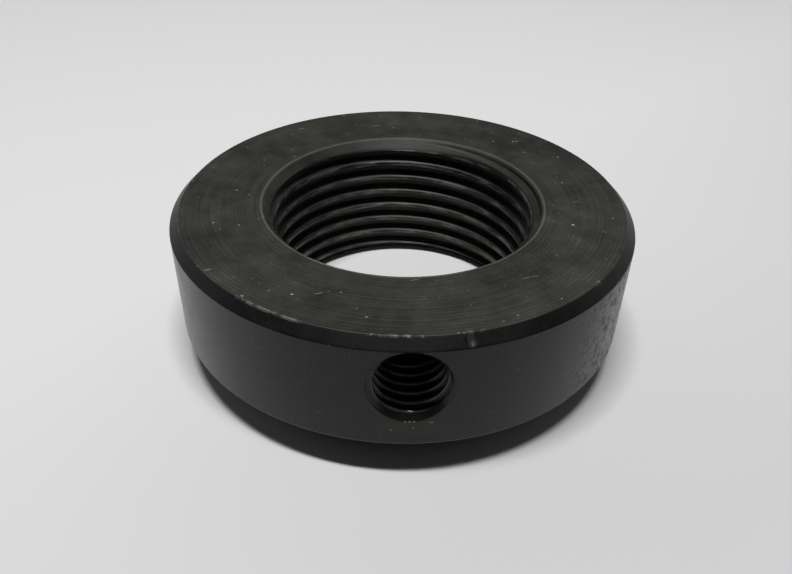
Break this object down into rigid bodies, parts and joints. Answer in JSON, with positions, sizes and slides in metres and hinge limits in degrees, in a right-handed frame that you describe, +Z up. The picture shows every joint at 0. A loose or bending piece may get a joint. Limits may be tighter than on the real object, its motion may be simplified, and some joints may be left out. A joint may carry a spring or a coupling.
{
  "type": "threaded shaft collar",
  "caption": "Round one-piece shaft collar with an internally threaded bore, held by a radial set screw that presses a soft plug against the rod.",
  "frame": {"origin": "centre of the bottom face, on the bore's axis", "axes": "+Z up along the bore's axis towards the face with the small outer chamfer, the tapped cross hole opens towards -Y"},
  "size_m": [0.05, 0.05, 0.016],
  "materials": {
    "black_oxide_steel": "turned steel with a worn black oxide finish, faint feed marks on the faces, oil-darkened cross hole",
    "screw_steel": "black alloy steel, oiled",
    "plug_brass": "plain turned brass, slightly dulled"
  },
  "bodies": {
    "collar": {"collar_body": "black_oxide_steel"},
    "plug": {"thread_plug": "plug_brass"},
    "screw": {"set_screw": "screw_steel"}
  },
  "joints": [
    {"name": "plug_slide", "type": "slide", "parent": "collar", "child": "plug", "axis": [0, -1, 0], "range_m": [0, 0.00625]},
    {"name": "set_screw_turn", "type": "hinge", "parent": "plug", "child": "screw", "pos_m": [0, -0.0178, 0.0109], "axis": [0, -1, 0], "range_deg": [0, 1800]}
  ],
  "couplings": [
    {"joint": "set_screw_turn", "follows": "plug_slide", "rad_per_m": 5026.5}
  ]
}
